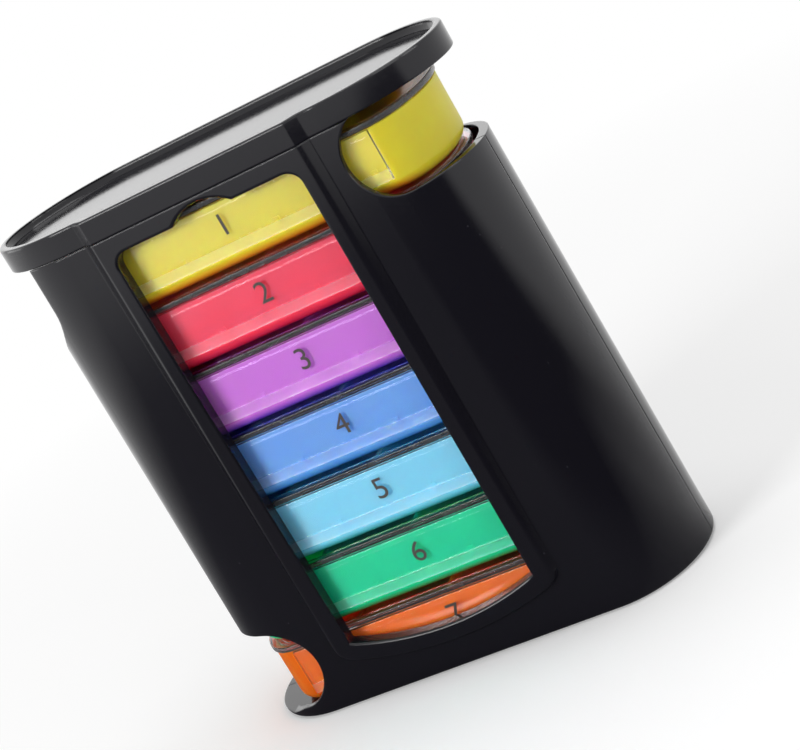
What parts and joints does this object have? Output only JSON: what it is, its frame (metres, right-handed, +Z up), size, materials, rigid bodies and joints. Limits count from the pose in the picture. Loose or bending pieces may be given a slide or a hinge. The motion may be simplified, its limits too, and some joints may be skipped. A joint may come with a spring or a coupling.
{
  "type": "pill organizer",
  "caption": "Upright tower case with a front window, an opening at the top right and bottom left, and stacked coloured trays with clear lids that slide out sideways.",
  "frame": {"origin": "middle of the bounding box's footprint, on the surface that the case stands on", "axes": "+Z up, -Y towards the front with the window, +X to the right as seen from the front"},
  "size_m": [0.117, 0.045, 0.13],
  "materials": {
    "black_plastic": "glossy injection-moulded black plastic",
    "clear_plastic": "clear glossy plastic",
    "yellow_plastic": "satin yellow plastic",
    "red_plastic": "satin red plastic",
    "purple_plastic": "satin purple plastic",
    "blue_plastic": "satin blue plastic",
    "light_blue_plastic": "satin light blue plastic",
    "green_plastic": "satin green plastic",
    "orange_plastic": "satin orange plastic"
  },
  "bodies": {
    "case": {"front_shell": "black_plastic", "rear_shell": "black_plastic", "top_cap": "black_plastic", "tray_monday": "red_plastic", "lid_monday": "clear_plastic", "label_monday": "clear_plastic", "tray_tuesday": "purple_plastic", "lid_tuesday": "clear_plastic", "label_tuesday": "clear_plastic", "tray_wednesday": "blue_plastic", "lid_wednesday": "clear_plastic", "label_wednesday": "clear_plastic", "tray_thursday": "light_blue_plastic", "lid_thursday": "clear_plastic", "label_thursday": "clear_plastic", "tray_friday": "green_plastic", "lid_friday": "clear_plastic", "label_friday": "clear_plastic"},
    "sunday_tray": {"tray_sunday": "yellow_plastic", "lid_sunday": "clear_plastic", "label_sunday": "clear_plastic"},
    "saturday_tray": {"tray_saturday": "orange_plastic", "lid_saturday": "clear_plastic", "label_saturday": "clear_plastic"}
  },
  "joints": [
    {"name": "sunday_slide", "type": "slide", "parent": "case", "child": "sunday_tray", "axis": [1, 0, 0], "range_m": [0, 0.085]},
    {"name": "saturday_slide", "type": "slide", "parent": "case", "child": "saturday_tray", "axis": [-1, 0, 0], "range_m": [0, 0.087]}
  ]
}
